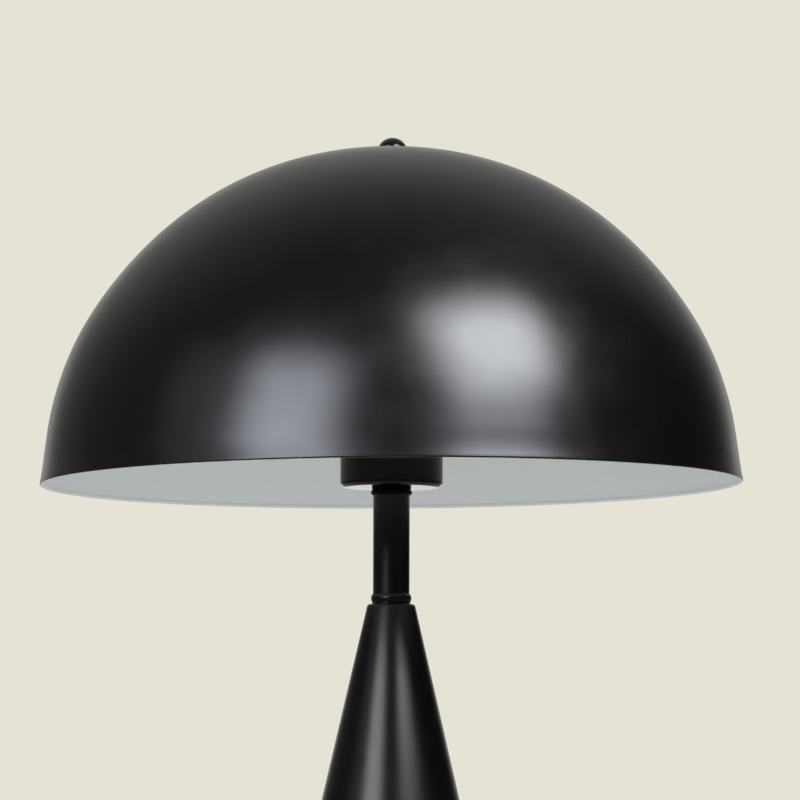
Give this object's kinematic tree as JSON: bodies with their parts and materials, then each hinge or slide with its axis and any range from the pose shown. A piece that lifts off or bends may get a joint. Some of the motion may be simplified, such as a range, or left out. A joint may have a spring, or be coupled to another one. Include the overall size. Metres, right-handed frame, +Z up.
{
  "type": "mushroom floor lamp",
  "caption": "Floor lamp with a wide domed shade on a harp, a short stem with collars and a tall cone foot; the shade, finial, bulb and harp come off.",
  "frame": {"origin": "centre of the foot on the floor, on the lamp's axis", "axes": "+Z up along the lamp's axis; the front faces -Y and the cord outlet is at the back, +Y"},
  "size_m": [0.48, 0.48, 1.1246],
  "materials": {
    "cone_paint": "satin",
    "stem_paint": "satin",
    "dome_paint": "satin",
    "finial_black": "satin",
    "rubber": "matte",
    "felt": "matte",
    "iron": "matte",
    "plain_steel": "satin",
    "zinc": "satin",
    "harp_steel": "satin",
    "nylon": "matte",
    "holder_black": "satin",
    "holder_ceramic": "satin",
    "brass": "satin",
    "tip_metal": "satin",
    "cap_metal": "satin",
    "insulator_black": "gloss",
    "bulb_white": "satin",
    "opal": "satin"
  },
  "bodies": {
    "lamp_frame": {"foot_edging": "rubber", "base_pad": "felt", "base_plate": "plain_steel", "base_screws": "zinc", "ballast_disc": "iron", "ledge_ring": "plain_steel", "rod_lock_nut": "zinc", "cone_shell": "cone_paint", "cone_plug": "plain_steel", "tie_rod": "plain_steel", "outlet_bush": "nylon", "outlet_nut": "nylon", "seat_washer": "stem_paint", "lower_collar": "stem_paint", "stem_tube": "stem_paint", "upper_collar": "stem_paint", "neck_spacer": "stem_paint", "socket_cup": "stem_paint", "harp_saddle": "plain_steel", "earth_tag": "brass", "lock_washer": "zinc", "clamp_nut": "zinc", "holder_cap": "holder_black", "holder_insert": "holder_ceramic", "terminal_screws": "brass", "screw_shell": "brass", "holder_skirt": "holder_black"},
    "harp": {"harp_wire": "harp_steel", "harp_stud": "harp_steel"},
    "right_ferrule_body": {"right_ferrule": "harp_steel"},
    "left_ferrule_body": {"left_ferrule": "harp_steel"},
    "shade": {"shade_dome": "dome_paint", "shade_washer": "harp_steel"},
    "finial_washer_body": {"finial_washer": "finial_black"},
    "finial_body": {"finial": "finial_black"},
    "bulb": {"bulb_tip": "tip_metal", "bulb_insulator": "insulator_black", "bulb_cap": "cap_metal", "bulb_housing": "bulb_white", "bulb_diffuser": "opal"},
    "contact": {"centre_contact": "brass"}
  },
  "joints": [
    {"name": "harp_lift", "type": "slide", "parent": "lamp_frame", "child": "harp", "axis": [0, 0, 1], "range_m": [0, 0.03]},
    {"name": "right_ferrule_lift", "type": "slide", "parent": "harp", "child": "right_ferrule_body", "axis": [0, 0, 1], "range_m": [0, 0.014]},
    {"name": "left_ferrule_lift", "type": "slide", "parent": "harp", "child": "left_ferrule_body", "axis": [0, 0, 1], "range_m": [0, 0.014]},
    {"name": "shade_lift", "type": "slide", "parent": "harp", "child": "shade", "axis": [0, 0, 1], "range_m": [0, 0.25]},
    {"name": "finial_rise", "type": "slide", "parent": "shade", "child": "finial_washer_body", "axis": [0, 0, 1], "range_m": [0, 0.0055]},
    {"name": "finial_turn", "type": "hinge", "parent": "finial_washer_body", "child": "finial_body", "pos_m": [0, 0, 1.12], "axis": [0, 0, 1], "range_deg": [0, 1983]},
    {"name": "bulb_out", "type": "slide", "parent": "lamp_frame", "child": "bulb", "axis": [0, 0, 1], "range_m": [0, 0.026]},
    {"name": "contact_press", "type": "slide", "parent": "lamp_frame", "child": "contact", "axis": [0, 0, 1], "range_m": [-0.0012, 0], "stiffness_N_per_m": 900}
  ],
  "couplings": [
    {"joint": "finial_turn", "follows": "finial_rise", "rad_per_m": 6283.2}
  ]
}
